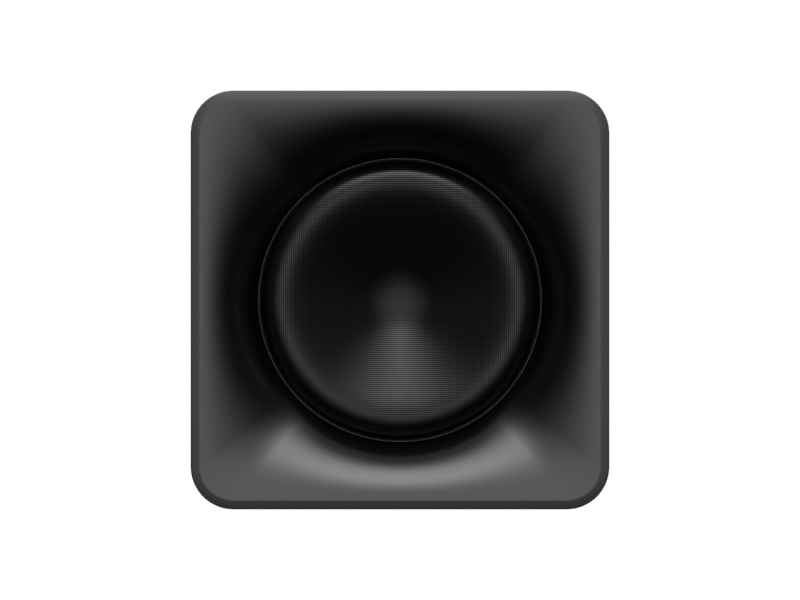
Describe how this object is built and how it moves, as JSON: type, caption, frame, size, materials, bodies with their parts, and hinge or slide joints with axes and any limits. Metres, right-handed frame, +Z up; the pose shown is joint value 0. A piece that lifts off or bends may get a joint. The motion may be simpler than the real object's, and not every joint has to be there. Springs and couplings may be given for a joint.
{
  "type": "powered subwoofer",
  "caption": "Cube-shaped powered subwoofer with a square-to-round horn front, a dished woven grille over a long-stroke woofer, and a recessed amplifier plate with controls.",
  "frame": {"origin": "on the floor, under the middle of the cabinet", "axes": "+X right seen from the front, +Y from the front to the back, +Z up"},
  "size_m": [0.345, 0.345, 0.3475],
  "materials": {
    "cabinet_finish": "satin black moulded surface",
    "horn_plastic": "satin black moulded surface",
    "grille_fabric": "woven black acoustic cloth",
    "plastic_black": "fine-textured black",
    "fibreboard": "raw fibreboard",
    "wadding": "loose white fibre",
    "rubber": "matt",
    "zinc_steel": "zinc plated",
    "black_metal": "powder coat",
    "cast_frame": "coated frame",
    "ferrite": "sintered",
    "cone_paper": "coated pulp",
    "spider_cloth": "resin-stiffened cloth",
    "copper": "enamelled copper",
    "brass": "plated brass",
    "former": "film former",
    "red_insulation": "wire insulation",
    "board": "printed circuit board",
    "cap_sleeve": "shrink sleeve",
    "led_lens": "clear diffuser"
  },
  "bodies": {
    "cabinet": {"cabinet_shell": "cabinet_finish", "rear_panel": "fibreboard", "front_baffle": "fibreboard", "window_brace": "fibreboard", "acoustic_wadding": "wadding", "feet": "rubber", "foot_screws": "zinc_steel", "waveguide": "horn_plastic", "waveguide_screws": "zinc_steel", "horn_gasket": "rubber", "seat_magnets": "zinc_steel", "driver_basket": "cast_frame", "driver_gasket": "rubber", "driver_screws": "zinc_steel", "top_plate": "zinc_steel", "magnet": "ferrite", "pole_yoke": "zinc_steel", "spider": "spider_cloth", "surround": "rubber", "tinsel_leads": "copper", "driver_terminals": "brass", "speaker_wire_red": "red_insulation", "speaker_wire_black": "rubber", "amp_plate": "black_metal", "amp_gasket": "rubber", "amp_screws": "zinc_steel", "amp_enclosure": "zinc_steel", "heatsink": "black_metal", "control_board": "board", "power_board": "board", "board_standoffs": "brass", "transformer": "copper", "capacitors": "cap_sleeve", "wireless_board": "board", "gain_pot": "zinc_steel", "crossover_pot": "zinc_steel", "phase_switch": "zinc_steel", "mode_switch": "zinc_steel", "pair_switch": "plastic_black", "status_led": "led_lens", "rca_housing": "plastic_black", "rca_contacts": "brass", "ac_inlet": "plastic_black", "ac_pins": "brass", "rocker_frame": "plastic_black"},
    "cone_assembly": {"cone": "cone_paper", "dust_cap": "cone_paper", "coil_former": "former", "voice_coil": "copper"},
    "grille": {"grille_plate": "black_metal", "grille_ring": "plastic_black", "grille_cloth": "grille_fabric", "grille_magnets": "zinc_steel"},
    "gain_control": {"gain_knob": "plastic_black"},
    "crossover_control": {"crossover_knob": "plastic_black"},
    "phase_control": {"phase_slider": "plastic_black"},
    "mode_control": {"mode_slider": "plastic_black"},
    "pair_control": {"pair_button": "plastic_black"},
    "mains_control": {"power_rocker": "plastic_black"}
  },
  "joints": [
    {"name": "cone_stroke", "type": "slide", "parent": "cabinet", "child": "cone_assembly", "axis": [0, -1, 0], "range_m": [-0.01, 0.01], "stiffness_N_per_m": 2500, "deforming": ["surround", "spider", "tinsel_leads"]},
    {"name": "grille_pull", "type": "slide", "parent": "cabinet", "child": "grille", "axis": [0, -1, 0], "range_m": [0, 0.05]},
    {"name": "gain_turn", "type": "hinge", "parent": "cabinet", "child": "gain_control", "pos_m": [0.045, 0.1595, 0.255], "axis": [0, 1, 0], "range_deg": [-150, 150]},
    {"name": "crossover_turn", "type": "hinge", "parent": "cabinet", "child": "crossover_control", "pos_m": [-0.045, 0.1595, 0.255], "axis": [0, 1, 0], "range_deg": [-150, 150]},
    {"name": "phase_slide", "type": "slide", "parent": "cabinet", "child": "phase_control", "axis": [-1, 0, 0], "range_m": [0, 0.004]},
    {"name": "mode_slide", "type": "slide", "parent": "cabinet", "child": "mode_control", "axis": [-1, 0, 0], "range_m": [-0.003, 0.003]},
    {"name": "pair_press", "type": "slide", "parent": "cabinet", "child": "pair_control", "axis": [0, -1, 0], "range_m": [0, 0.0008], "stiffness_N_per_m": 800},
    {"name": "mains_rock", "type": "hinge", "parent": "cabinet", "child": "mains_control", "pos_m": [-0.04, 0.1585, 0.087], "axis": [1, 0, 0], "range_deg": [0, 18]}
  ]
}
